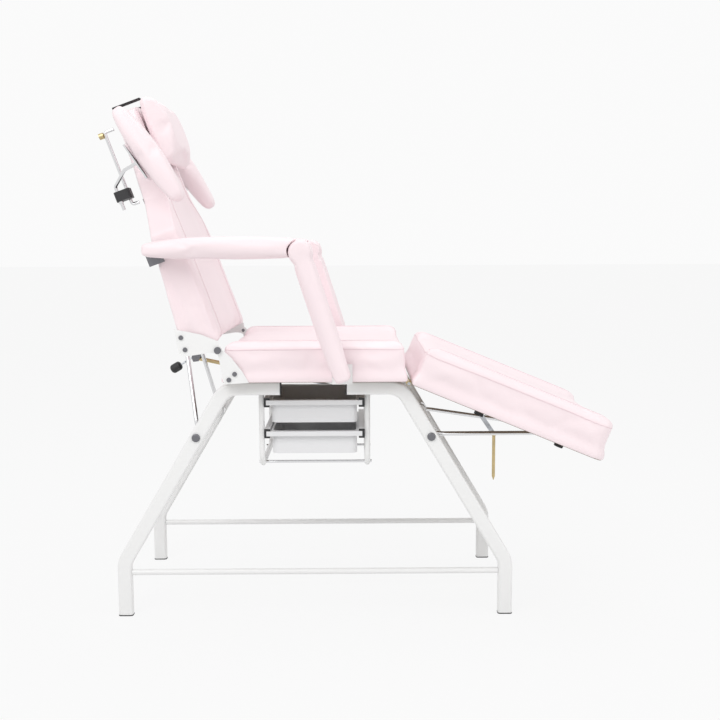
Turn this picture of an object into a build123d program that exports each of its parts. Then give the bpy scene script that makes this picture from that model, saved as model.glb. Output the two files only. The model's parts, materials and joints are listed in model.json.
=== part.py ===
from build123d import *
import math
import os

os.makedirs("parts", exist_ok=True)

# ---------------------------------------------------------------- driving sizes (mm)
BED_HALF_WIDTH = 290.0        # seat and leg rest upholstery, half width
SEAT_TOP = 735.0              # top of the seat cushion above the floor
SEAT_BOTTOM = 636.0           # underside of the seat board
SEAT_BACK_X = -236.0
SEAT_FRONT_X = 246.0
BOARD = 15.0                  # plywood thickness
FRAME_Y = BED_HALF_WIDTH - 50.0   # leg frame planes, each side
FOOT_X = 510.0                # foot centre from the middle of the frame
TUBE_W = 38.0                 # flat-sided leg tube, in the frame plane
TUBE_D = 25.0                 # leg tube across the bed
TUBE_WALL = 2.0
KINK_Z = 146.0                # where the leg leaves the upright foot
TOP_BEND_X = 231.0
TUBE_END_X = 88.0             # inner ends of the top tubes
CROSS_X, CROSS_Z, CROSS_D = 310.0, 486.0, 28.0
BAR_Z, BAR_D = 118.0, 16.0
RECLINE = 20.0                # backrest angle from vertical
BACK_PIVOT = (-242.0, 722.0)
BACK_START, BACK_LENGTH = 14.0, 700.0
BACK_FACE = 13.0              # front surface ahead of the pivot
BACK_REAR_LOW, BACK_REAR_HIGH = -87.0, -62.0
LEG_DROP = 22.5               # leg rest angle below level
LEG_PIVOT = (252.0, 623.5)
LEG_LENGTH = 551.0
LEG_BASE = 6.5                # leg board underside above the pivot
PLATE = 3.0                   # painted hinge plates
ARM_IN = BED_HALF_WIDTH + 15.0
ARM_OUT = ARM_IN + 70.0
ARM_LOW, ARM_KNEE, ARM_REAR = (77.0, 655.0), (-26.0, 973.0), (-389.0, 964.0)
ROD = 12.0                    # chrome prop rod
PROP_BASE_Y, PROP_TIP_Y = FRAME_Y - 45.0, 75.0
BACK_PROP_S, BACK_PROP_N = 85.0, -101.0
BACK_PROP_RATIO, BACK_TRAVEL = 0.675, 70.0
LEG_PROP_S, LEG_PROP_N = 398.0, -12.0
LEG_PROP_RATIO, LEG_DOWN, LEG_UP = 1.37, 25.0, 22.5
STRUT_Y, STRUT_D = FRAME_Y - 60.0, 12.0
KNOB_Y, KNOB_R = FRAME_Y - 31.0, 14.0   # release knob, between the prop and the leg tube
STRUT_REAR, STRUT_FRONT = (-375.0, 648.0), (60.0, 557.0)
RACK_X, RACK_LOW_Z, RACK_D = 142.0, 398.0, 15.0
RACK_NEAR_Y, RACK_FAR_Y = 50.0 - FRAME_Y, FRAME_Y - 120.0   # clear of the leg tubes and the strut
TRAY_TOPS = (578.0, 494.0)
TRAY_DEEP, TRAY_WALL = 62.0, 2.5
GUIDE_Y, GUIDE_D = BED_HALF_WIDTH - 118.0, 9.0
GUIDE_N, GUIDE_LOW_S, GUIDE_HIGH_S = -91.0, 432.0, 630.0

# ---------------------------------------------------------------- fits (mm)
SEATED = 0.3                  # air between two pieces that rest on each other
RUNNING = 0.16               # pin in a turning hole, on diameter
PRESS = 0.1                   # plug in a tube, on each side
SLIDE = 1.5                   # tray lip in its channel, each side
HALF_BACK = BED_HALF_WIDTH + PLATE + SEATED

shapes = {}


def add(name, shape):
    shapes[name] = shape


def rad(angle):
    return math.radians(angle)


def side_extrude(points, y0, y1):
    wire = Polyline(*[(x, 0, z) for x, z in points], close=True)
    face = make_face(wire)
    solid = extrude(face, amount=y1 - y0, dir=(0, 1, 0))
    return Pos(0, y0, 0) * solid


def rod_y(x, z, d, y0, y1):
    return Pos(x, (y0 + y1) / 2, z) * Rot(90, 0, 0) * Cylinder(d / 2, abs(y1 - y0))


def rod_x(y, z, d, x0, x1):
    return Pos((x0 + x1) / 2, y, z) * Rot(0, 90, 0) * Cylinder(d / 2, abs(x1 - x0))


def rod_z(x, y, d, z0, z1):
    return Pos(x, y, (z0 + z1) / 2) * Cylinder(d / 2, abs(z1 - z0))


def block(x0, x1, y0, y1, z0, z1):
    return Pos((x0 + x1) / 2, (y0 + y1) / 2, (z0 + z1) / 2) * Box(x1 - x0, abs(y1 - y0), z1 - z0)


def soft_block(x0, x1, y0, y1, z0, z1, r):
    body = block(x0, x1, y0, y1, z0, z1)
    return fillet(body.edges(), r)


def round_path(points, bend, d):
    path = FilletPolyline(*points, radius=bend)
    section = Plane(origin=path @ 0, z_dir=path % 0) * Circle(d / 2)
    return sweep(section, path=path)


def straight_rod(a, b, d):
    path = Line(a, b)
    section = Plane(origin=path @ 0, z_dir=path % 0) * Circle(d / 2)
    return sweep(section, path=path)


def strip(a, b, width, y0, y1):
    """Flat bar with round ends between two points of the side plane."""
    dx, dz = b[0] - a[0], b[1] - a[1]
    length = math.hypot(dx, dz)
    slot = SlotCenterToCenter(length, width)
    bar = extrude(slot, amount=(y1 - y0) / 2, both=True)
    turn = math.degrees(math.atan2(dz, dx))
    return Pos((a[0] + b[0]) / 2, (y0 + y1) / 2, (a[1] + b[1]) / 2) * Rot(0, -turn, 0) * Rot(90, 0, 0) * bar


def mirror_y(shape):
    return mirror(shape, about=Plane.XZ)


def group(pieces):
    """Several separate solids in one node."""
    return Compound([solid for piece in pieces for solid in piece.solids()])


def pair(shape):
    return group([shape, mirror_y(shape)])


def turn_point(point, about, angle):
    c, s = math.cos(rad(angle)), math.sin(rad(angle))
    dx, dz = point[0] - about[0], point[1] - about[1]
    return (about[0] + dx * c - dz * s, about[1] + dx * s + dz * c)


# local frames: the backrest lies along +Z with its front to +X, the leg rest along +X
BACK = Pos(BACK_PIVOT[0], 0, BACK_PIVOT[1]) * Rot(0, -RECLINE, 0)
LEG = Pos(LEG_PIVOT[0], 0, LEG_PIVOT[1]) * Rot(0, LEG_DROP, 0)


def back_point(s, n):
    c, w = math.cos(rad(RECLINE)), math.sin(rad(RECLINE))
    return (BACK_PIVOT[0] + n * c - s * w, BACK_PIVOT[1] + n * w + s * c)


def back_local(point):
    c, w = math.cos(rad(RECLINE)), math.sin(rad(RECLINE))
    dx, dz = point[0] - BACK_PIVOT[0], point[1] - BACK_PIVOT[1]
    return (dz * c - dx * w, dx * c + dz * w)


def leg_point(s, n):
    c, w = math.cos(rad(LEG_DROP)), math.sin(rad(LEG_DROP))
    return (LEG_PIVOT[0] + s * c + n * w, LEG_PIVOT[1] - s * w + n * c)


def leg_local(point):
    c, w = math.cos(rad(LEG_DROP)), math.sin(rad(LEG_DROP))
    dx, dz = point[0] - LEG_PIVOT[0], point[1] - LEG_PIVOT[1]
    return (dx * c - dz * w, dx * w + dz * c)


# ---------------------------------------------------------------- leg frames
TUBE_Z = SEAT_BOTTOM - SEATED - TUBE_W / 2
FOOT_LIFT = 3.0


def leg_tube(side_x, side_y):
    points = [(FOOT_X, 0, FOOT_LIFT), (FOOT_X, 0, KINK_Z), (TOP_BEND_X, 0, TUBE_Z), (TUBE_END_X, 0, TUBE_Z)]
    path = FilletPolyline(*points, radius=60)
    start = Plane(origin=path @ 0, x_dir=(1, 0, 0), z_dir=(0, 0, 1))
    outer = sweep(start * RectangleRounded(TUBE_W, TUBE_D, 7), path=path)
    inner = sweep(start * RectangleRounded(TUBE_W - 2 * TUBE_WALL, TUBE_D - 2 * TUBE_WALL, 5), path=path)
    tube = outer - inner
    tube -= rod_y(CROSS_X, CROSS_Z, 8 + RUNNING, -TUBE_D, TUBE_D)
    if side_x < 0:
        tube = mirror(tube, about=Plane.YZ)
    return Pos(0, side_y * FRAME_Y, 0) * tube


for end_name, sx in (("head", -1), ("foot", 1)):
    add("leg_tubes_" + end_name, group([leg_tube(sx, sy) for sy in (-1, 1)]))
reach = FOOT_X - TUBE_W / 2 - SEATED
add("lower_bars", group([rod_x(sy * FRAME_Y, BAR_Z, BAR_D, -reach, reach) for sy in (-1, 1)]))

caps, plugs, bolts = [], [], []
inner_w, inner_d = TUBE_W - 2 * TUBE_WALL - 2 * PRESS, TUBE_D - 2 * TUBE_WALL - 2 * PRESS
for sx in (-1, 1):
    for sy in (-1, 1):
        flange = extrude(RectangleRounded(TUBE_W + 1, TUBE_D + 1, 7), amount=FOOT_LIFT - SEATED)
        stem = extrude(RectangleRounded(inner_w, inner_d, 4.8), amount=18)
        caps.append(Pos(sx * FOOT_X, sy * FRAME_Y, 0) * (flange + stem))
        end = Rot(0, 90, 0) * (extrude(RectangleRounded(TUBE_W, TUBE_D, 7), amount=3)
                               + extrude(RectangleRounded(inner_w, inner_d, 4.8), amount=18))
        end = Pos(TUBE_END_X - 3 - SEATED, sy * FRAME_Y, TUBE_Z) * end
        plugs.append(end if sx > 0 else mirror(end, about=Plane.YZ))
        face = FRAME_Y + TUBE_D / 2 + SEATED
        head = rod_y(sx * CROSS_X, CROSS_Z, 22, face, face + 5)
        head = fillet(head.edges().filter_by(GeomType.CIRCLE).sort_by(Axis.Y)[-1], 3)
        bolt = head + rod_y(sx * CROSS_X, CROSS_Z, 8, FRAME_Y - 35, face + 1)
        bolts.append(bolt if sy > 0 else mirror_y(bolt))
add("foot_caps", group(caps))
add("tube_plugs", group(plugs))
add("cross_bolts", group(bolts))

cross = []
for sx in (-1, 1):
    half = FRAME_Y - TUBE_D / 2 - SEATED
    tube = rod_y(sx * CROSS_X, CROSS_Z, CROSS_D, -half, half)
    tube -= rod_y(sx * CROSS_X, CROSS_Z, CROSS_D - 5, -half + 30, half - 30)
    for sy in (-1, 1):
        tube -= rod_y(sx * CROSS_X, CROSS_Z, 8 + RUNNING, sy * (half + 1), sy * (half - 40))
    cross.append(tube)
add("cross_tubes", group(cross))

# ---------------------------------------------------------------- seat
inset = 4.0


def seat_slab(edge, low, high, corner):
    half = BED_HALF_WIDTH - edge
    slab = block(SEAT_BACK_X + edge, SEAT_FRONT_X - edge, -half, half, low, high)
    return fillet(slab.edges().filter_by(Axis.Z), corner)


# the covering wraps round the edge of the board
add("seat_board", seat_slab(inset, SEAT_BOTTOM, SEAT_BOTTOM + BOARD, 8))
cushion = seat_slab(0, SEAT_BOTTOM, SEAT_TOP, 12)
cushion = fillet(cushion.faces().sort_by(Axis.Z)[-1].edges(), 11.5)
cushion -= seat_slab(inset - SEATED, SEAT_BOTTOM - 1, SEAT_BOTTOM + BOARD + SEATED, 8 + SEATED)
add("seat_cushion", cushion)

px, pz = BACK_PIVOT
y_in, y_out = BED_HALF_WIDTH + SEATED, BED_HALF_WIDTH + PLATE
seat_plate = side_extrude([(px - 1, pz - 6), (px + 11, pz + 1), (-208, 702), (-180, 666), (-164, 637),
                           (-227, 633), (-232, 650), (-238, 690)], y_in, y_out)
seat_plate += rod_y(px, pz, 22, y_in, y_out)
seat_plate -= rod_y(px, pz, 10 + RUNNING, y_in - 1, y_out + 1)
for hx, hz in ((-200, 660), (-215, 645)):
    seat_plate -= rod_y(hx, hz, 6.4, y_in - 1, y_out + 1)
back_in, back_out = HALF_BACK + SEATED, HALF_BACK + PLATE
back_plate = side_extrude([(-353, 776), (-342, 714), (-327, 706), (-267, 715), (px - 4, pz - 8),
                           (px + 4, pz - 4), (px + 2, 745), (-284, 763), (-322, 771)], back_in, back_out)
back_plate += rod_y(px, pz, 22, back_in, back_out)
back_plate -= rod_y(px, pz, 10 + RUNNING, back_in - 1, back_out + 1)
for hx, hz in ((-335, 755), (-325, 724)):
    back_plate -= rod_y(hx, hz, 6.4, back_in - 1, back_out + 1)
pin = rod_y(px, pz, 10, y_in + 0.2, back_out + SEATED + 1)
pin += rod_y(px, pz, 18, back_out + SEATED, back_out + SEATED + 4)
seat_screws = [rod_y(x, z, 12, y_out + SEATED, y_out + SEATED + 2.5) + rod_y(x, z, 6, y_in, y_out + 1)
               for x, z in ((-200, 660), (-215, 645))]
back_head = (back_out + SEATED, back_out + SEATED + 2.5)
back_screws = [rod_y(x, z, 12, *back_head) + rod_y(x, z, 6, back_in, back_out + 1)
               for x, z in ((-335, 755), (-325, 724))]
add("seat_plates", pair(seat_plate))
add("back_plates", pair(back_plate))
add("hinge_pins", pair(pin))
add("seat_plate_screws", group(seat_screws + [mirror_y(s) for s in seat_screws]))
add("back_plate_screws", group(back_screws + [mirror_y(s) for s in back_screws]))

# ---------------------------------------------------------------- backrest
waist, head_half, crown = HALF_BACK - 79.3, HALF_BACK - 107.3, HALF_BACK - 143.3
plan_points = [(-HALF_BACK, BACK_START), (-HALF_BACK, 330), (-waist, 430), (-head_half, 636), (-crown, 676)]
right_points = [(-y, s) for y, s in reversed(plan_points)]
outline = [Polyline(*[(0, y, s) for y, s in plan_points]),
           ThreePointArc((0, -crown, 676), (0, 0, BACK_LENGTH), (0, crown, 676)),
           Polyline(*[(0, y, s) for y, s in right_points]),
           Line((0, HALF_BACK, BACK_START), (0, -HALF_BACK, BACK_START))]
plan = make_face([e for piece in outline for e in piece.edges()])
plan_solid = Pos(-150, 0, 0) * extrude(plan, amount=300, dir=(1, 0, 0))


def rear_at(s):
    return BACK_REAR_LOW + (BACK_REAR_HIGH - BACK_REAR_LOW) * (s - BACK_START) / (BACK_LENGTH - BACK_START)


top_s = BACK_LENGTH + 5
board_profile = side_extrude([(rear_at(0), 0), (rear_at(0) + BOARD, 0), (rear_at(top_s) + BOARD, top_s),
                              (rear_at(top_s), top_s)], -400, 400)
cushion_profile = side_extrude([(rear_at(0) + BOARD + SEATED, 0), (BACK_FACE, 0), (BACK_FACE, top_s),
                                (rear_at(top_s) + BOARD + SEATED, top_s)], -400, 400)
back_board = plan_solid & board_profile
back_cushion = plan_solid & cushion_profile
add("back_board", BACK * back_board)
add("back_cushion", BACK * back_cushion)

# cam ribs that the prop bar pushes against, shaped by the bar's own travel
prop_foot = (-CROSS_X, CROSS_Z)
bar_rest = back_point(BACK_PROP_S, BACK_PROP_N)


def back_cam(theta):
    bar = turn_point(bar_rest, prop_foot, BACK_PROP_RATIO * theta)
    return back_local(turn_point(bar, BACK_PIVOT, -theta))


steps = 14
track = [back_cam(BACK_TRAVEL * i / steps) for i in range(steps + 1)]
first, last = track[0], track[-1]
track = [(first[0] - 18, first[1])] + track + [(last[0] + 14, last[1] + 2)]
# the bar meets the sloping edge up to 33 degrees off square
edge = [(n + 1.2 * ROD / 2 + SEATED, s) for s, n in track]
base = [(rear_at(edge[-1][1]) - SEATED, edge[-1][1]), (rear_at(edge[0][1]) - SEATED, edge[0][1])]
back_edge = edge
rib = side_extrude(edge + base, -4, 4)
back_ribs = group([BACK * Pos(0, y, 0) * rib for y in (10, 60)])
add("back_cam_ribs", back_ribs)

# ---------------------------------------------------------------- props
ring_out = CROSS_D + 8


def prop(foot, tip, name):
    length = math.hypot(tip[0] - foot[0], tip[1] - foot[1])
    turn = math.degrees(math.atan2(tip[0] - foot[0], tip[1] - foot[1]))
    start = ring_out / 2 - 2
    pts = [(0, -PROP_BASE_Y, start), (0, -PROP_BASE_Y, 34), (0, -PROP_TIP_Y, length),
           (0, PROP_TIP_Y, length), (0, PROP_BASE_Y, 34), (0, PROP_BASE_Y, start)]
    body = round_path(pts, 18, ROD)
    for sy in (-1, 1):
        body += rod_y(0, 0, ring_out, sy * (PROP_BASE_Y + 10), sy * (PROP_BASE_Y - 10))
        body -= rod_y(0, 0, CROSS_D + 2 * SEATED, sy * (PROP_BASE_Y + 11), sy * (PROP_BASE_Y - 11))
    add(name, Pos(foot[0], 0, foot[1]) * Rot(0, turn, 0) * body)


prop(prop_foot, bar_rest, "back_prop")
leg_foot = (CROSS_X, CROSS_Z)
leg_bar_rest = leg_point(LEG_PROP_S, LEG_PROP_N)
prop(leg_foot, leg_bar_rest, "leg_prop")

# ---------------------------------------------------------------- leg rest


def leg_slab(edge, low, high):
    half = BED_HALF_WIDTH - edge
    slab = block(edge, LEG_LENGTH - edge, -half, half, low, high)
    return fillet(slab.edges().filter_by(Axis.Z).sort_by(Axis.X)[-2:], 45 - edge)


add("leg_board", LEG * leg_slab(inset, LEG_BASE, LEG_BASE + BOARD))
leg_top = SEAT_TOP - LEG_PIVOT[1]
cushion = leg_slab(0, LEG_BASE, leg_top)
cushion = fillet(cushion.faces().sort_by(Axis.Z)[-1].edges(), 14)
cushion -= leg_slab(inset - SEATED, LEG_BASE - 1, LEG_BASE + BOARD + SEATED)
add("leg_cushion", LEG * cushion)


def leg_cam(theta):
    bar = turn_point(leg_bar_rest, leg_foot, LEG_PROP_RATIO * theta)
    return leg_local(turn_point(bar, LEG_PIVOT, -theta))


track = [leg_cam(-LEG_DOWN + (LEG_DOWN + LEG_UP) * i / steps) for i in range(steps + 1)]
first, last = track[0], track[-1]
track = [(first[0] + 14, first[1])] + track + [(last[0] - 14, last[1])]
edge = [(s, n + ROD / 2 + SEATED + 1.0) for s, n in track]
rib = side_extrude(edge + [(edge[-1][0], LEG_BASE - SEATED), (edge[0][0], LEG_BASE - SEATED)], -4, 4)
add("leg_cam_ribs", group([LEG * Pos(0, y, 0) * rib for y in (-45, 45)]))

lx, lz = LEG_PIVOT
seat_leaves, leg_leaves, leg_pins = [], [], []
barrel = 12.0
for y in (90 - BED_HALF_WIDTH, BED_HALF_WIDTH - 90):
    leaf = block(lx - 55, lx - 4, y - 26, y + 26, SEAT_BOTTOM - SEATED - 3, SEAT_BOTTOM - SEATED)
    for a, b in ((-26, -9), (9, 26)):
        leaf += block(lx - 8, lx - 3, y + a, y + b, lz, SEAT_BOTTOM - SEATED)
        leaf += rod_y(lx, lz, barrel, y + a, y + b)
    leaf -= rod_y(lx, lz, 5 + RUNNING, y - 30, y + 30)
    seat_leaves.append(leaf)
    own = rod_y(0, 0, barrel, y - 8.6, y + 8.6)
    own += block(0, 60, y - 8.6, y + 8.6, LEG_BASE - SEATED - 3, LEG_BASE - SEATED)
    own += block(10, 60, y - 26, y + 26, LEG_BASE - SEATED - 3, LEG_BASE - SEATED)
    own -= rod_y(0, 0, 5 + RUNNING, y - 30, y + 30)
    leg_leaves.append(LEG * own)
    leg_pins.append(rod_y(lx, lz, 5, y - 27, y + 27) + rod_y(lx, lz, 9, y - 29, y - 26 - SEATED))
add("leg_hinge_seat_leaves", group(seat_leaves))
add("leg_hinge_rest_leaves", group(leg_leaves))
add("leg_hinge_pins", group(leg_pins))

feet = []
for y in (75 - BED_HALF_WIDTH, BED_HALF_WIDTH - 75):
    foot = extrude(Plane.XY.offset(LEG_BASE - SEATED - 14) * Circle(12), amount=14, taper=-8)
    foot = Pos(436, y, 0) * foot
    feet.append(LEG * foot)
add("rubber_feet", group(feet))

# ---------------------------------------------------------------- arm supports
lane_a = (ARM_IN, ARM_IN + 4)
lane_b = (lane_a[1] + SEATED, lane_a[1] + SEATED + 4)
up_core = strip(ARM_LOW, ARM_KNEE, 26, *lane_a)
up_core -= rod_y(ARM_LOW[0], ARM_LOW[1], 10 + RUNNING, lane_a[0] - 1, lane_a[1] + 1)
arm_core = strip(ARM_REAR, ARM_KNEE, 22, *lane_b)
arm_core -= rod_y(ARM_KNEE[0], ARM_KNEE[1], 8 + RUNNING, lane_b[0] - 1, lane_b[1] + 1)
knee_pin = rod_y(ARM_KNEE[0], ARM_KNEE[1], 8, lane_a[0] - 1, lane_b[1] - 0.2)
knee_pin += rod_y(ARM_KNEE[0], ARM_KNEE[1], 15, lane_a[0] - 3, lane_a[0] + 1)

lean = math.degrees(math.atan2(ARM_LOW[0] - ARM_KNEE[0], ARM_KNEE[1] - ARM_LOW[1]))
up_len = math.hypot(ARM_LOW[0] - ARM_KNEE[0], ARM_KNEE[1] - ARM_LOW[1])
pad_y0 = lane_a[1] + SEATED
cap_y0 = lane_b[1] + SEATED
KNEE_R = 33.0                 # round padded knee, level with the top of the arm pad
up_pad = soft_block(-23, 23, pad_y0, ARM_OUT, -14, up_len - 32, 14)
neck = block(-23, 23, cap_y0, ARM_OUT, up_len - 60, up_len)
up_pad += fillet(neck.edges().filter_by(Axis.Z), 14)
up_pad = Pos(ARM_LOW[0], 0, ARM_LOW[1]) * Rot(0, -lean, 0) * up_pad
knee = rod_y(ARM_KNEE[0], ARM_KNEE[1], 2 * KNEE_R, cap_y0, ARM_OUT)
up_pad += fillet(knee.edges().filter_by(GeomType.CIRCLE), 14)
arm_top = ARM_KNEE[1] + KNEE_R
arm_pad = block(-421, ARM_KNEE[0] - 19, cap_y0, ARM_OUT, arm_top - 50, arm_top)
arm_pad = fillet(arm_pad.edges().filter_by(Axis.X) + arm_pad.faces().sort_by(Axis.X)[0].edges(), 16)
arm_pad -= rod_y(ARM_KNEE[0], ARM_KNEE[1], 2 * (KNEE_R + SEATED + 0.4), cap_y0 - 1, ARM_OUT + 1)

ear_x, ear_out = (ARM_LOW[0] - 26, ARM_LOW[0] + 26), BED_HALF_WIDTH + 4
bracket = block(*ear_x, BED_HALF_WIDTH + SEATED, ear_out, SEAT_BOTTOM - 4, 684)
bracket += block(*ear_x, BED_HALF_WIDTH - 32, ear_out, SEAT_BOTTOM - 4, SEAT_BOTTOM - SEATED)
bracket += rod_y(ARM_LOW[0], ARM_LOW[1], 16, BED_HALF_WIDTH + 3, ARM_IN - SEATED)
bracket += rod_y(ARM_LOW[0], ARM_LOW[1], 10, BED_HALF_WIDTH + 1, lane_a[1] - 0.2)
rear_s, rear_n = back_local(ARM_REAR)
anchor = block(rear_n - 29, rear_n + 12, HALF_BACK + SEATED, HALF_BACK + 3.3, rear_s - 20, rear_s + 20)
anchor += rod_y(rear_n, rear_s, 16, HALF_BACK + 3, ARM_IN - SEATED)
anchor = BACK * anchor
for side_name, sy in (("near", -1), ("far", 1)):
    flip = (lambda s: s) if sy > 0 else mirror_y
    add("upright_core_" + side_name, flip(up_core + knee_pin))
    add("upright_pad_" + side_name, flip(up_pad))
    add("arm_core_" + side_name, flip(arm_core))
    add("arm_pad_" + side_name, flip(arm_pad))
add("arm_seat_brackets", pair(bracket))
add("arm_back_anchors", pair(anchor))

# ---------------------------------------------------------------- recline lock strut
bx, bz = STRUT_REAR
fx, fz = STRUT_FRONT
span = math.hypot(fx - bx, fz - bz)
fall = math.degrees(math.atan2(bz - fz, fx - bx))
STRUT = Pos(bx, STRUT_Y, bz) * Rot(0, fall, 0)
tube = rod_x(0, 0, STRUT_D, 8, 270) - rod_x(0, 0, 8 + RUNNING, 14, 271)
tube += rod_y(0, 0, 18, -6, 6)
tube -= rod_y(0, 0, 8 + RUNNING, -7, 7)
add("strut_tube", STRUT * tube)
rod = rod_x(0, 0, 8, 178, span - 6)
rod += rod_y(span, 0, 16, -5, 5)
rod -= rod_y(span, 0, 8, -6, 6)
add("strut_rod", STRUT * rod)

sb, nb = back_local(STRUT_REAR)
rear0 = rear_at(20) - SEATED
cheek = side_extrude([(rear0 - 1.5, 22), (rear0 - 1.5, 88), (rear0 - 4, 88), (nb - 10, sb + 6),
                      (nb - 10, sb - 8), (nb + 6, sb - 12)], 0, 3)
flange = block(rear0 - 3.2, rear0, -26, 30, 20, 90)
lug = BACK * Pos(0, STRUT_Y, 0) * (flange + Pos(0, 8, 0) * cheek + Pos(0, -11, 0) * cheek)
lug += Pos(bx, STRUT_Y, bz) * rod_y(0, 0, 8, -12, 22)
add("strut_back_bracket", lug)
front = block(fx - 22, fx + 22, STRUT_Y - 14, STRUT_Y + 14, SEAT_BOTTOM - 3.3, SEAT_BOTTOM - SEATED)
for y in (-14, 11):
    front += block(fx - 14, fx + 14, STRUT_Y + y, STRUT_Y + y + 3, fz - 12, SEAT_BOTTOM - SEATED)
add("strut_seat_bracket", front)
lever = Pos(bx, STRUT_Y, bz) * rod_y(0, 0, 16, 14.2, 19)
lever -= Pos(bx, STRUT_Y, bz) * rod_y(0, 0, 8 + RUNNING, 13, 20)
arm_path = [(bx - 7, STRUT_Y + 17, bz - 2), (bx - 22, STRUT_Y + 17, bz - 4), (bx - 37, KNOB_Y, bz - 15.5),
            (bx - 58, KNOB_Y, bz - 28)]
lever += round_path(arm_path, 6, 6)
add("release_lever", lever)
knob = Pos(bx - 65, KNOB_Y, bz - 32.2) * Rot(0, -30.8, 0) * (Rot(0, 90, 0) * Cylinder(KNOB_R, 36))
knob = fillet(knob.edges().filter_by(GeomType.CIRCLE), 10)
knob -= straight_rod((bx - 37, KNOB_Y, bz - 15.5), (bx - 58.4, KNOB_Y, bz - 28.25), 6 + 2 * PRESS)
add("release_knob", knob)

# ---------------------------------------------------------------- leg rest latch
top_s0, top_n0 = 230.0, -18.0
tip_s0, tip_n0 = leg_local((498, 459))
top_pt, tip_pt = leg_point(top_s0, top_n0), (498.0, 459.0)
clip_y = -75.0
clip = block(218, 242, clip_y - 10, clip_y - 4, top_n0 - 8, LEG_BASE - SEATED)
clip += block(218, 242, clip_y + 4, clip_y + 10, top_n0 - 8, LEG_BASE - SEATED)
clip += block(214, 246, clip_y - 10, clip_y + 10, LEG_BASE - SEATED - 4, LEG_BASE - SEATED)
clip += rod_y(230, top_n0, 6, clip_y - 11, clip_y + 11)
hook = block(282, 300, clip_y + 14, clip_y + 34, -12, LEG_BASE - SEATED)
hook -= block(280, 302, clip_y + 20, clip_y + 28, -13, -2)
add("latch_clips", group([LEG * clip, LEG * hook]))
bar = strip(top_pt, tip_pt, 12, clip_y - 1.5, clip_y + 1.5)
bar -= rod_y(top_pt[0], top_pt[1], 6 + RUNNING, clip_y - 3, clip_y + 3)
bar -= rod_y(tip_pt[0], tip_pt[1], 6 + RUNNING, clip_y - 3, clip_y + 3)
add("latch_bar", bar)
pull = rod_z(tip_pt[0], clip_y - 9, 9, 338, 459)
pull += Pos(tip_pt[0], clip_y - 9, 459) * Sphere(6.5)
pull += rod_y(tip_pt[0], tip_pt[1], 6, clip_y - 9, clip_y + 4)
pull += Pos(tip_pt[0], clip_y - 9, 334) * Cone(0.8, 4.5, 12)
add("pull_rod", pull)

# ---------------------------------------------------------------- tray rack
hang = SEAT_BOTTOM - SEATED - 3
rod_ys = (RACK_NEAR_Y + 45, RACK_FAR_Y - 45)
frames = []
for x in (-RACK_X, RACK_X):
    pts = [(x, RACK_NEAR_Y, hang - SEATED), (x, RACK_NEAR_Y, RACK_LOW_Z), (x, RACK_FAR_Y, RACK_LOW_Z),
           (x, RACK_FAR_Y, hang - SEATED)]
    frame = round_path(pts, 35, RACK_D)
    for y in rod_ys:
        frame -= rod_x(y, RACK_LOW_Z, 8 + RUNNING, x - 20, x + 20)
    for y in (RACK_NEAR_Y, RACK_FAR_Y):
        frame += rod_z(x, y, 34, hang - 1, SEAT_BOTTOM - SEATED)
    frames.append(frame)
add("rack_frames", group(frames))
add("rack_rods", group([rod_x(y, RACK_LOW_Z, 8, -RACK_X - 12, RACK_X + 12) for y in rod_ys]))

rail_out = RACK_X - RACK_D / 2 - SEATED
rim_half = rail_out - 6.0
rails = []
for top in TRAY_TOPS:
    for sx in (-1, 1):
        a, b = sorted((sx * (rail_out - 15), sx * rail_out))
        rail = block(a, b, RACK_NEAR_Y - 16, RACK_FAR_Y - 8, top - 13 - SLIDE - 4, top + SLIDE + 4)
        c, d = sorted((sx * (rail_out - 16), sx * (rail_out - 4)))
        rail -= block(c, d, RACK_NEAR_Y - 17, RACK_FAR_Y - 16, top - 13 - SEATED, top + SLIDE)
        rails.append(rail)
add("tray_rails", group(rails))


def tray(top):
    y0, y1 = RACK_NEAR_Y - 22, RACK_FAR_Y - 24
    body_half = rail_out - 15 - 5
    rim = block(-rim_half, rim_half, y0, y1, top - 3, top)
    inner = rim_half - TRAY_WALL
    lip = block(-rim_half, rim_half, y0, y1, top - 13, top)
    lip -= block(-inner, inner, y0 + TRAY_WALL, y1 - TRAY_WALL, top - 14, top - 3)
    tub = block(-body_half, body_half, y0 + 14, y1 - 14, top - TRAY_DEEP, top)
    tub = fillet(tub.edges().filter_by(Axis.Z), 18)
    hollow = block(-body_half + TRAY_WALL, body_half - TRAY_WALL, y0 + 14 + TRAY_WALL, y1 - 14 - TRAY_WALL,
                   top - TRAY_DEEP + TRAY_WALL, top + 5)
    hollow = fillet(hollow.edges().filter_by(Axis.Z), 15)
    return (rim + lip + tub) - hollow


add("tray_upper", tray(TRAY_TOPS[0]))
add("tray_lower", tray(TRAY_TOPS[1]))

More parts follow.
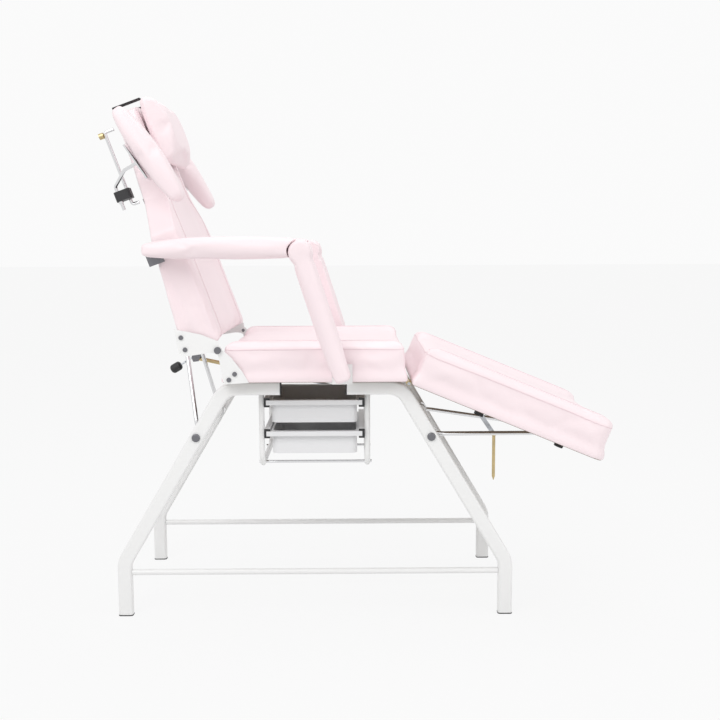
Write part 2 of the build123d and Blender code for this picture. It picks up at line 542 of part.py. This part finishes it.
# ---------------------------------------------------------------- head side pads
low_n, high_n = rear_at(GUIDE_LOW_S) - SEATED, rear_at(GUIDE_HIGH_S) - SEATED
swing_n, swing_y = GUIDE_N - 22, GUIDE_Y + 18
pad_tilt = 14.0
guides = []
for side_name, sy in (("near", -1), ("far", 1)):
    pts = [(low_n, sy * GUIDE_Y, GUIDE_LOW_S), (GUIDE_N, sy * GUIDE_Y, GUIDE_LOW_S),
           (GUIDE_N, sy * GUIDE_Y, GUIDE_HIGH_S), (high_n, sy * GUIDE_Y, GUIDE_HIGH_S)]
    guides.append(BACK * round_path(pts, 7, GUIDE_D))
    s0 = GUIDE_LOW_S + 16
    clamp = block(GUIDE_N - 32, GUIDE_N + 11, sy * (GUIDE_Y - 11), sy * (GUIDE_Y + 28), s0, s0 + 26)
    clamp = fillet(clamp.edges().filter_by(Axis.Z), 8)
    clamp -= rod_z(GUIDE_N, sy * GUIDE_Y, GUIDE_D + RUNNING, s0 - 1, s0 + 27)
    clamp -= rod_z(swing_n, sy * swing_y, GUIDE_D + RUNNING, s0 - 1, s0 + 27)
    add("pad_clamp_" + side_name, BACK * clamp)
    pts = [(swing_n, sy * swing_y, s0 - 24), (swing_n, sy * swing_y, s0 + 40),
           (-62, sy * (GUIDE_Y + 86), s0 + 62), (-19, sy * (GUIDE_Y + 103), s0 + 66)]
    rod_shape = round_path(pts, 9, GUIDE_D)
    rod_shape += rod_z(swing_n, sy * swing_y, 13, s0 - 6, s0 - SEATED)
    pad = soft_block(-33, 33, sy * 47, -sy * 47, -142, 142, 24) if sy < 0 else \
        soft_block(-33, 33, -47, 47, -142, 142, 24)
    where = Pos(14, sy * (GUIDE_Y + 104), 522) * Rot(0, -pad_tilt, 0)
    add("side_pad_" + side_name, BACK * where * pad)
    plate = block(-37.3, -33.3, -30, 30, -50, 50)
    add("swing_rod_" + side_name, BACK * (rod_shape + where * plate))
add("guide_rods", group(guides))
brass = []
for sy in (-1, 1):
    knob = Pos(GUIDE_N - GUIDE_D / 2 - SEATED - 6, sy * GUIDE_Y, GUIDE_HIGH_S - 6) * Rot(0, 90, 0)
    knob *= Cylinder(8, 12)
    brass.append(BACK * knob)
add("guide_bolts", group(brass))

# ---------------------------------------------------------------- head pillow
pillow = soft_block(BACK_FACE + SEATED, BACK_FACE + 52, -146, 146, 506, 692, 20)
add("pillow", BACK * pillow)
band = []
for y in (-60, 60):
    outer = block(rear_at(640) - 2.3, BACK_FACE, y - 15, y + 15, 640, BACK_LENGTH + 2.3)
    outer -= block(rear_at(640) - SEATED, BACK_FACE + 1, y - 16, y + 16, 639, BACK_LENGTH + 0.5)
    band.append(BACK * outer)
add("pillow_strap", group(band))

# ---------------------------------------------------------------- centre on the floor and save
boxes = [shape.bounding_box() for shape in shapes.values()]
low = [min(getattr(b.min, axis) for b in boxes) for axis in "XYZ"]
high = [max(getattr(b.max, axis) for b in boxes) for axis in "XYZ"]
shift_x, shift_y, shift_z = -(low[0] + high[0]) / 2, -(low[1] + high[1]) / 2, -low[2]
for name, shape in shapes.items():
    export_step(Pos(shift_x, shift_y, shift_z) * shape, "parts/%s.step" % name)
print("shift", round(shift_x, 3), round(shift_y, 3), "size", [round(b - a, 2) for a, b in zip(low, high)])
print("back prop ratio", BACK_PROP_RATIO, "bar at rest", bar_rest, "leg bar", leg_bar_rest)
print("cam edge", [(round(n, 1), round(v, 1)) for n, v in back_edge])
print("swing axis", swing_n, swing_y, "nodes", len(shapes))
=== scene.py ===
import json
import math
import bpy
import bmesh
import numpy as np
from mathutils import Matrix, Vector
from mathutils.bvhtree import BVHTree


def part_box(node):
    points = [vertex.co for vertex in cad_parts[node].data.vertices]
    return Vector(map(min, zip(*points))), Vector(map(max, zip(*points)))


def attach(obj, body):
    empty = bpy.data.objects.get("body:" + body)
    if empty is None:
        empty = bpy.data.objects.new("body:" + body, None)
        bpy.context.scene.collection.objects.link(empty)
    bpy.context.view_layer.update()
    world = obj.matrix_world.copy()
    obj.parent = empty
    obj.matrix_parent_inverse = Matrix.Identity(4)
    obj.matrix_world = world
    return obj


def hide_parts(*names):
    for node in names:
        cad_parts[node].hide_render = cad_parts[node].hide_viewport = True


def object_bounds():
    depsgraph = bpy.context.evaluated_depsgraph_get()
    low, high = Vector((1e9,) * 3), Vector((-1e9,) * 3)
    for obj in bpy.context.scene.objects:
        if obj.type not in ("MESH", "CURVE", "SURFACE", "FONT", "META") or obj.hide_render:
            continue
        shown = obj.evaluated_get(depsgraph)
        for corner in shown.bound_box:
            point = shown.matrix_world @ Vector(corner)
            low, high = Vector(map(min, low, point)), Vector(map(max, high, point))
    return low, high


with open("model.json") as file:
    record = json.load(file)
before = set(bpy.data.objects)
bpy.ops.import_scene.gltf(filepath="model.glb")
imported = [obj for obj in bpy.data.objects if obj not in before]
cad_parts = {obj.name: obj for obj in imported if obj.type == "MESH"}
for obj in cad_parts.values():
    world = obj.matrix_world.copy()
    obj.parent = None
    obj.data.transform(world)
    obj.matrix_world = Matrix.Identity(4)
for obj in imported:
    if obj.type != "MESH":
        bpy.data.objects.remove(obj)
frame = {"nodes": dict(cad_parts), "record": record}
cad_bounds = [list(map(float, corner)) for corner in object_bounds()]
NODES = frame["nodes"]
RECORD = frame["record"]
JOINTS = {j["name"]: j for j in RECORD["behaviour"]["joints"]}
MM = 0.001
PINK = (0.925, 0.795, 0.82)
PINK_SEAM = (0.83, 0.68, 0.71)
WHITE = (0.87, 0.87, 0.865)


# ------------------------------------------------------------------ materials
def material(name, color, rough, metal=0.0, coat=0.0, coat_rough=0.1, ior=1.5):
    m = bpy.data.materials.new(name)
    m.use_nodes = True
    b = m.node_tree.nodes["Principled BSDF"]
    b.inputs["Base Color"].default_value = (*color, 1.0)
    b.inputs["Roughness"].default_value = rough
    b.inputs["Metallic"].default_value = metal
    b.inputs["Coat Weight"].default_value = coat
    b.inputs["Coat Roughness"].default_value = coat_rough
    b.inputs["IOR"].default_value = ior
    return m, m.node_tree, b


def grain(tree, shader, scale, strength, distance, detail=4.0, kind="noise"):
    n = tree.nodes
    coord = n.new("ShaderNodeTexCoord")
    if kind == "noise":
        tex = n.new("ShaderNodeTexNoise")
        tex.inputs["Detail"].default_value = detail
        out = tex.outputs["Fac"]
    else:
        tex = n.new("ShaderNodeTexVoronoi")
        out = tex.outputs["Distance"]
    tex.inputs["Scale"].default_value = scale
    bump = n.new("ShaderNodeBump")
    bump.inputs["Strength"].default_value = strength
    bump.inputs["Distance"].default_value = distance
    tree.links.new(coord.outputs["Object"], tex.inputs["Vector"])
    tree.links.new(out, bump.inputs["Height"])
    tree.links.new(bump.outputs["Normal"], shader.inputs["Normal"])
    return coord


def mottle(tree, shader, coord, dark, light, scale, low=0.35, high=0.65):
    n = tree.nodes
    tex = n.new("ShaderNodeTexNoise")
    tex.inputs["Scale"].default_value = scale
    tex.inputs["Detail"].default_value = 3.0
    ramp = n.new("ShaderNodeValToRGB")
    ramp.color_ramp.elements[0].position = low
    ramp.color_ramp.elements[0].color = (*dark, 1)
    ramp.color_ramp.elements[1].position = high
    ramp.color_ramp.elements[1].color = (*light, 1)
    tree.links.new(coord.outputs["Object"], tex.inputs["Vector"])
    tree.links.new(tex.outputs["Fac"], ramp.inputs["Fac"])
    tree.links.new(ramp.outputs["Color"], shader.inputs["Base Color"])


def shade(color, k):
    return tuple(max(0.0, min(1.0, c * k)) for c in color)


MATERIALS = {}
m, t, b = material("vinyl", PINK, 0.44)
coord = grain(t, b, 900, 0.16, 0.0006, kind="voronoi")
mottle(t, b, coord, shade(PINK, 0.985), shade(PINK, 1.01), 6)
MATERIALS["pink_vinyl"] = m
MATERIALS["seam"] = material("seam_thread", PINK_SEAM, 0.55)[0]
m, t, b = material("powder_coat", WHITE, 0.34, coat=0.25, coat_rough=0.22)
grain(t, b, 520, 0.05, 0.0005)
MATERIALS["white_paint"] = m
MATERIALS["chrome_rod"] = material("chrome_plate", (0.74, 0.74, 0.75), 0.13, metal=1.0)[0]
m, t, b = material("zinc_plate", (0.56, 0.58, 0.61), 0.32, metal=1.0)
grain(t, b, 300, 0.05, 0.0004)
MATERIALS["zinc_steel"] = m
m, t, b = material("dark_plate", (0.20, 0.20, 0.215), 0.36, metal=1.0)
grain(t, b, 300, 0.05, 0.0004)
MATERIALS["dark_steel"] = m
m, t, b = material("yellow_passivated", (0.60, 0.47, 0.24), 0.34, metal=1.0)
coord = grain(t, b, 250, 0.05, 0.0004)
mottle(t, b, coord, (0.52, 0.42, 0.24), (0.66, 0.52, 0.27), 45)
MATERIALS["yellow_steel"] = m
m, t, b = material("plywood_face", (0.20, 0.14, 0.09), 0.62)
coord = grain(t, b, 160, 0.2, 0.0008)
mottle(t, b, coord, (0.15, 0.10, 0.065), (0.25, 0.18, 0.12), 18)
MATERIALS["plywood"] = m
m, t, b = material("black_moulding", (0.022, 0.022, 0.024), 0.45)
grain(t, b, 420, 0.12, 0.0004)
MATERIALS["black_plastic"] = m
m, t, b = material("white_moulding", (0.80, 0.80, 0.81), 0.28)
grain(t, b, 350, 0.05, 0.0004)
MATERIALS["white_plastic"] = m
m, t, b = material("rubber_foot", (0.02, 0.02, 0.02), 0.75)
grain(t, b, 420, 0.2, 0.0005)
MATERIALS["black_rubber"] = m
m, t, b = material("elastic_weave", (0.03, 0.03, 0.032), 0.85)
grain(t, b, 700, 0.4, 0.0006, kind="voronoi")
MATERIALS["black_elastic"] = m

SLOT_OF = {s["node"]: s["material_slot"] for s in RECORD["subparts"]}
for name, obj in NODES.items():
    for s in obj.material_slots:
        s.material = MATERIALS[SLOT_OF[name]]

# ------------------------------------------------------------------ soft pieces


def new_object(name, mesh):
    obj = bpy.data.objects.new(name, mesh)
    bpy.context.scene.collection.objects.link(obj)
    return obj


def coords(mesh):
    co = np.empty(len(mesh.vertices) * 3)
    mesh.vertices.foreach_get("co", co)
    return co.reshape(-1, 3)


def set_coords(mesh, co):
    mesh.vertices.foreach_set("co", co.ravel())
    mesh.update()


def normals(mesh):
    n = np.empty(len(mesh.vertices) * 3)
    mesh.vertices.foreach_get("normal", n)
    return n.reshape(-1, 3)


def select_only(obj):
    bpy.ops.object.select_all(action="DESELECT")
    obj.select_set(True)
    bpy.context.view_layer.objects.active = obj


def apply_modifier(obj, mod):
    select_only(obj)
    bpy.ops.object.modifier_apply(modifier=mod.name)


def smooth_step(x, a, b):
    t = np.clip((x - a) / (b - a), 0, 1)
    return t * t * (3 - 2 * t)


def local_axes(angle_deg):
    """Columns: along X, across Y and up Z of a piece turned about Y."""
    return np.array(Matrix.Rotation(math.radians(angle_deg), 3, "Y"))


def cushion(name, node, body, turn=0.0, voxel=6.0, inset=4.0, cap=9.0, pressure=4.0, shape=None,
            base=None, base_band=4.0, base_reach=0.0, also=()):
    """A padded copy of a CAD solid, swollen by cloth simulation in its own turned frame."""
    mesh = NODES[node].data.copy()
    mesh.materials.clear()
    mesh.materials.append(MATERIALS["pink_vinyl"])
    obj = new_object(name, mesh)
    axes = local_axes(turn)
    co = coords(mesh)
    centre = (co.min(0) + co.max(0)) / 2
    local = (co - centre) @ axes
    if base is not None:
        axis, side = base
        edge = local[:, axis].min() if side < 0 else local[:, axis].max()
        near = np.abs(local[:, axis] - edge) < base_band * MM
        local[near, axis] = edge + side * base_reach * MM
    set_coords(mesh, local)
    mod = obj.modifiers.new("remesh", "REMESH")
    mod.mode = "VOXEL"
    mod.voxel_size = voxel * MM
    apply_modifier(obj, mod)
    mesh = obj.data
    outward = normals(mesh) * inset * MM
    local = coords(mesh) - outward
    if shape is not None:
        local = shape(local)
    set_coords(mesh, local)
    start = local.copy()
    cloth = obj.modifiers.new("cloth", "CLOTH")
    s = cloth.settings
    s.quality = 5
    s.mass = 0.3
    s.use_pressure = True
    s.uniform_pressure_force = pressure
    s.tension_stiffness = 18
    s.compression_stiffness = 18
    s.bending_stiffness = 0.6
    s.effector_weights.gravity = 0
    cloth.collision_settings.use_collision = False
    cloth.point_cache.frame_start = 1
    cloth.point_cache.frame_end = 20
    for f in range(1, 21):
        bpy.context.scene.frame_set(f)
    apply_modifier(obj, cloth)
    bpy.context.scene.frame_set(1)
    moved = coords(obj.data) - start
    length = np.linalg.norm(moved, axis=1)
    scale = np.minimum(1.0, cap * MM / np.maximum(length, 1e-9))
    moved *= scale[:, None]
    if base is not None:
        axis, side = base
        edge = start[:, axis].min() if side < 0 else start[:, axis].max()
        hold = smooth_step(np.abs(start[:, axis] - edge), 0.006, 0.035)[:, None]
        moved = moved * hold + outward * (1 - hold)
    swollen = start + moved
    set_coords(obj.data, swollen)
    smooth = obj.modifiers.new("smooth", "SMOOTH")
    smooth.factor = 0.5
    smooth.iterations = 6
    apply_modifier(obj, smooth)
    if base is not None:
        soft = coords(obj.data)
        edge = swollen[:, axis].min() if side < 0 else swollen[:, axis].max()
        crisp = 1 - smooth_step(np.abs(swollen[:, axis] - edge), 0.008, 0.026)
        set_coords(obj.data, soft + (swollen - soft) * crisp[:, None])
    sub = obj.modifiers.new("sub", "SUBSURF")
    sub.levels = 1
    sub.render_levels = 1
    apply_modifier(obj, sub)
    final = coords(obj.data) @ axes.T + centre
    set_coords(obj.data, final)
    for p in obj.data.polygons:
        p.use_smooth = True
    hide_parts(node, *also)
    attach(obj, body)
    return obj, centre, axes


def mirrored(source, name, node, body, also=()):
    mesh = source.data.copy()
    co = coords(mesh)
    co[:, 1] *= -1
    set_coords(mesh, co)
    mesh.flip_normals()
    obj = new_object(name, mesh)
    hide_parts(node, *also)
    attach(obj, body)
    return obj


def seam(name, piece, points, body, closed=True, size=1.3, lift=0.0004):
    """A sewn line laid on the piece's surface through points in the row frame."""
    skin = piece.data
    tree = BVHTree.FromPolygons([v.co for v in skin.vertices], [p.vertices for p in skin.polygons])
    dense = []
    count = len(points)
    last = count if closed else count - 1
    for i in range(last):
        a, b = Vector(points[i]), Vector(points[(i + 1) % count])
        steps = max(2, int((b - a).length / 0.006))
        dense += [a.lerp(b, k / steps) for k in range(steps)]
    if not closed:
        dense.append(Vector(points[-1]))
    laid = []
    for p in dense:
        hit, normal, _, _ = tree.find_nearest(p)
        laid.append(np.array(hit + normal * lift))
    laid = np.array(laid)
    for _ in range(6):
        before = np.roll(laid, 1, axis=0)
        after = np.roll(laid, -1, axis=0)
        mean = (before + 2 * laid + after) / 4
        if closed:
            laid = mean
        else:
            laid[1:-1] = mean[1:-1]
    curve = bpy.data.curves.new(name, "CURVE")
    curve.dimensions = "3D"
    spline = curve.splines.new("POLY")
    spline.points.add(len(laid) - 1)
    for sp, p in zip(spline.points, laid):
        sp.co = (*p, 1)
    spline.use_cyclic_u = closed
    curve.bevel_depth = size * MM
    curve.bevel_resolution = 2
    curve.materials.append(MATERIALS["seam"])
    obj = bpy.data.objects.new(name, curve)
    bpy.context.scene.collection.objects.link(obj)
    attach(obj, body)
    return obj


EDGE_SEAM_DROP = 0.012        # metres below a cushion's top
SEAM_END = 0.985              # of the half length, where a panel seam stops


def ring(piece_frame, axis, level, sizes):
    """Rectangle round a piece at a level along one local axis, in the row frame."""
    centre, axes = piece_frame
    a, b = [i for i in range(3) if i != axis]
    corners = []
    for sa, sb in ((-1, -1), (1, -1), (1, 1), (-1, 1)):
        p = np.zeros(3)
        p[axis] = level
        p[a] = sa * sizes[a] / 2
        p[b] = sb * sizes[b] / 2
        corners.append(p @ axes.T + centre)
    return corners


def local_size(node, axes):
    co = coords(NODES[node].data) @ axes
    return co.max(0) - co.min(0)


def dished(width_in, width_out, depth, top_axis=2):
    def shape(local):
        top = local[:, top_axis].max()
        weight = smooth_step(local[:, top_axis], top - 0.05, top - 0.004)
        dip = 1 - smooth_step(np.abs(local[:, 1]), width_in, width_out)
        local[:, top_axis] -= depth * MM * weight * dip
        return local
    return shape


def tapered(long_axis, thick_axis, ends, power=2.5, wide_axis=None, wide_ends=0.0):
    """Draws a pad in towards both its ends."""
    def shape(local):
        reach = local[:, long_axis]
        t = np.abs(2 * (reach - reach.min()) / (reach.max() - reach.min()) - 1) ** power
        local[:, thick_axis] *= 1 - ends * t
        if wide_axis is not None:
            local[:, wide_axis] *= 1 - wide_ends * t
        return local
    return shape


KNEE_REACH = 9.0              # mm that the arm pad closes up on the padded knee


def slim_rear(rear, bow):
    """An arm pad that thins towards the backrest and bows up a little on its way."""
    def shape(local):
        reach = local[:, 0]
        t = (reach - reach.min()) / (reach.max() - reach.min())
        local[:, 2] *= rear + (1 - rear) * smooth_step(t, 0.0, 0.7)
        local[:, 2] += bow * MM * (np.sin(np.pi * t) ** 2 - (1 - smooth_step(t, 0.0, 0.35)))
        local[:, 0] += KNEE_REACH * MM * smooth_step(t, 0.90, 1.0)
        return local
    return shape


RECLINE = 20.0                # degrees the backrest leans back at rest
LEG_DROP = 22.5               # degrees the leg rest hangs below level
PANEL_IN, PANEL_OUT = 0.55, 0.80   # sunk middle of each cushion, in half widths
BOARD_BAND, BOARD_SHOWS = 17.0, -0.6   # mm: the cover wraps a 15 mm board, whose face stays in view
BACK_BOARD_COVER = 14.5       # mm that the backrest's pad reaches over its board
half = (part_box("seat_cushion")[1][1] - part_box("seat_cushion")[0][1]) / 2

sunk_in, sunk_out = half * PANEL_IN, half * PANEL_OUT
seat, seat_c, seat_a = cushion("seat_pad", "seat_cushion", "frame", base=(2, -1), base_band=BOARD_BAND,
                               base_reach=BOARD_SHOWS, shape=dished(sunk_in, sunk_out, 11), cap=8)
leg, leg_c, leg_a = cushion("leg_pad", "leg_cushion", "leg_rest", turn=LEG_DROP, base=(2, -1),
                            base_band=BOARD_BAND, base_reach=BOARD_SHOWS,
                            shape=dished(sunk_in, sunk_out, 12), cap=8)
back, back_c, back_a = cushion("back_pad", "back_cushion", "backrest", turn=-RECLINE, base=(0, -1),
                               base_reach=BACK_BOARD_COVER,
                               shape=dished(sunk_in, sunk_out, 10, top_axis=0), cap=8,
                               also=("back_board",))
cushion("head_pad", "pillow", "head_pillow", turn=-RECLINE, voxel=5, inset=5, cap=13, base=(0, -1),
        shape=tapered(2, 0, 0.30))
side, _, _ = cushion("side_rest_pad_near", "side_pad_near", "side_rest_near", turn=-RECLINE - 14, voxel=4,
                               inset=5, cap=10, shape=tapered(2, 0, 0.42, 2.2, 1, 0.25))
mirrored(side, "side_rest_pad_far", "side_pad_far", "side_rest_far")
arm, _, _ = cushion("arm_rest_pad_near", "arm_pad_near", "arm_near", voxel=4, inset=4, cap=9,
                            base=(1, 1), base_band=6.0, base_reach=7.6, shape=slim_rear(0.74, 3.0),
                            also=("arm_core_near",))
mirrored(arm, "arm_rest_pad_far", "arm_pad_far", "arm_far", also=("arm_core_far",))
knee, root = JOINTS["arm_knee_near"]["pos_m"], JOINTS["upright_lean_near"]["pos_m"]
lean = math.degrees(math.atan2(-(knee[0] - root[0]), knee[2] - root[2]))
post, _, _ = cushion("arm_post_pad_near", "upright_pad_near", "upright_near", turn=-lean, voxel=4, inset=4,
                               cap=8, base=(1, 1), base_band=6.0, base_reach=3.3,
                               also=("upright_core_near",))
mirrored(post, "arm_post_pad_far", "upright_pad_far", "upright_far", also=("upright_core_far",))

# ------------------------------------------------------------------ seams
flat_pads = (("seat", seat, seat_c, seat_a, "seat_cushion", "frame"),
             ("leg", leg, leg_c, leg_a, "leg_cushion", "leg_rest"))
for tag, piece, c, a, node, body in flat_pads:
    sizes = local_size(node, a)
    seam("%s_edge_seam" % tag, piece, ring((c, a), 2, sizes[2] / 2 - EDGE_SEAM_DROP, sizes), body)
for tag, piece, c, a, node, body in flat_pads:
    sizes = local_size(node, a)
    for sy in (-1, 1):
        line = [np.array([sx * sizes[0] / 2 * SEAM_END, sy * half * 0.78, sizes[2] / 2]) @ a.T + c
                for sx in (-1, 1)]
        seam("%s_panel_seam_%s" % (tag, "near" if sy < 0 else "far"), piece, line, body, closed=False)
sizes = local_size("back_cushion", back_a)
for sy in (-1, 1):
    line = [np.array([sizes[0] / 2, sy * half * 0.74, z]) @ back_a.T + back_c
            for z in (-sizes[2] / 2 * SEAM_END, sizes[2] * 0.02)]
    line.append(np.array([sizes[0] / 2, sy * half * 0.50, sizes[2] * 0.13]) @ back_a.T + back_c)
    line.append(np.array([sizes[0] / 2, sy * half * 0.46, sizes[2] * 0.46]) @ back_a.T + back_c)
    seam("back_panel_seam_%s" % ("near" if sy < 0 else "far"), back, line, "backrest", closed=False)

# ------------------------------------------------------------------ plastic caps on the tray rails
def islands(mesh):
    """Bounding boxes of the separate pieces of a mesh."""
    bm = bmesh.new()
    bm.from_mesh(mesh)
    bmesh.ops.remove_doubles(bm, verts=bm.verts, dist=1e-6)
    left = set(bm.verts)
    boxes = []
    while left:
        stack = [next(iter(left))]
        left.discard(stack[0])
        points = []
        while stack:
            v = stack.pop()
            points.append(v.co[:])
            for e in v.link_edges:
                w = e.other_vert(v)
                if w in left:
                    left.discard(w)
                    stack.append(w)
        points = np.array(points)
        boxes.append((points.min(0), points.max(0)))
    bm.free()
    return sorted(boxes, key=lambda b: tuple(np.round(b[0], 4)))


CAP = 0.003
for number, (lo, hi) in enumerate(islands(NODES["tray_rails"].data)):
    mesh = bpy.data.meshes.new("rail_cap")
    bm = bmesh.new()
    size = (hi[0] - lo[0] + 0.001, CAP, hi[2] - lo[2] + 0.001)
    place = Vector(((lo[0] + hi[0]) / 2, lo[1] - CAP / 2 - 0.0002, (lo[2] + hi[2]) / 2))
    bmesh.ops.create_cube(bm, size=1.0, matrix=Matrix.Translation(place) @ Matrix.Diagonal((*size, 1.0)))
    bmesh.ops.bevel(bm, geom=bm.edges[:], offset=0.0008, segments=2, affect="EDGES")
    bm.to_mesh(mesh)
    bm.free()
    mesh.materials.append(MATERIALS["black_plastic"])
    cap_piece = new_object("rail_end_cap_%d" % number, mesh)
    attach(cap_piece, "frame")

# ------------------------------------------------------------------ floor, light, camera
def direct_view(tree):
    """One where a camera, glossy or transmission ray looks, and zero for light that bounces."""
    path = tree.nodes.new("ShaderNodeLightPath")
    seen = path.outputs["Is Camera Ray"]
    for ray in ("Is Glossy Ray", "Is Transmission Ray"):
        either = tree.nodes.new("ShaderNodeMath")
        either.operation = "MAXIMUM"
        tree.links.new(seen, either.inputs[0])
        tree.links.new(path.outputs[ray], either.inputs[1])
        seen = either.outputs[0]
    return seen


FLOOR_REACH = 40.0            # metres each way
FLOOR_GLOW, FLOOR_TONE = 0.885, 0.07   # nearly even under direct view, so no horizon shows
WORLD_LIGHT, WORLD_SEEN = 0.68, 0.96
mesh = bpy.data.meshes.new("floor")
mesh.from_pydata([(sx * FLOOR_REACH, sy * FLOOR_REACH, 0) for sx, sy in ((-1, -1), (1, -1), (1, 1), (-1, 1))],
                 [], [(0, 1, 2, 3)])
floor = new_object("floor", mesh)
floor.location.z = -0.0005
fm = bpy.data.materials.new("floor_paint")
fm.use_nodes = True
nt = fm.node_tree
for n in list(nt.nodes):
    nt.nodes.remove(n)
out = nt.nodes.new("ShaderNodeOutputMaterial")
dif = nt.nodes.new("ShaderNodeBsdfDiffuse")
dif.inputs["Color"].default_value = (0.86, 0.86, 0.86, 1)
emi = nt.nodes.new("ShaderNodeEmission")
emi.inputs["Color"].default_value = (1, 1, 1, 1)
emi.inputs["Strength"].default_value = FLOOR_GLOW
seen_directly = direct_view(nt)
add = nt.nodes.new("ShaderNodeAddShader")
seen_dif = nt.nodes.new("ShaderNodeBsdfDiffuse")
seen_dif.inputs["Color"].default_value = (FLOOR_TONE, FLOOR_TONE, FLOOR_TONE, 1)
nt.links.new(seen_dif.outputs[0], add.inputs[0])
nt.links.new(emi.outputs[0], add.inputs[1])
mix = nt.nodes.new("ShaderNodeMixShader")
nt.links.new(seen_directly, mix.inputs[0])
nt.links.new(dif.outputs[0], mix.inputs[1])
nt.links.new(add.outputs[0], mix.inputs[2])
nt.links.new(mix.outputs[0], out.inputs["Surface"])
floor.data.materials.append(fm)

world = bpy.data.worlds.new("studio")
bpy.context.scene.world = world
world.use_nodes = True
nt = world.node_tree
bg = nt.nodes["Background"]
bg.inputs["Color"].default_value = (1, 1, 1, 1)
bg.inputs["Strength"].default_value = WORLD_LIGHT
bright = nt.nodes.new("ShaderNodeBackground")
bright.inputs["Color"].default_value = (1, 1, 1, 1)
bright.inputs["Strength"].default_value = WORLD_SEEN
seen_directly = direct_view(nt)
mix = nt.nodes.new("ShaderNodeMixShader")
nt.links.new(seen_directly, mix.inputs[0])
nt.links.new(bg.outputs[0], mix.inputs[1])
nt.links.new(bright.outputs[0], mix.inputs[2])
nt.links.new(mix.outputs[0], nt.nodes["World Output"].inputs["Surface"])


def lamp(name, where, target, size, power):
    data = bpy.data.lights.new(name, "AREA")
    data.shape = "SQUARE"
    data.size = size
    data.energy = power
    obj = bpy.data.objects.new(name, data)
    bpy.context.scene.collection.objects.link(obj)
    obj.location = where
    obj.rotation_euler = (Vector(target) - Vector(where)).to_track_quat("-Z", "Y").to_euler()
    return obj


low, high = cad_bounds
middle = [(low[i] + high[i]) / 2 for i in range(3)]
lamp("key", (-1.6, -2.6, 3.0), middle, 2.2, 44)
lamp("fill", (2.6, -1.8, 1.8), middle, 2.5, 21)
lamp("top", (0.2, 0.6, 3.4), middle, 2.5, 22)

cam_data = bpy.data.cameras.new("camera")
cam = bpy.data.objects.new("camera", cam_data)
bpy.context.scene.collection.objects.link(cam)
cam_data.sensor_width = 36.0
cam_data.lens = 49.7
cam_data.clip_end = 200
YAW, PITCH, ROLL = 0.26, 6.77, 0.26
cam.location = (-0.009, -2.828, 0.996)
turn = Matrix.Rotation(math.radians(-YAW), 4, "Z") @ Matrix.Rotation(math.radians(90 - PITCH), 4, "X")
cam.rotation_euler = (turn @ Matrix.Rotation(math.radians(-ROLL), 4, "Z")).to_euler()
bpy.context.scene.camera = cam
bpy.context.scene.view_settings.view_transform = "Standard"
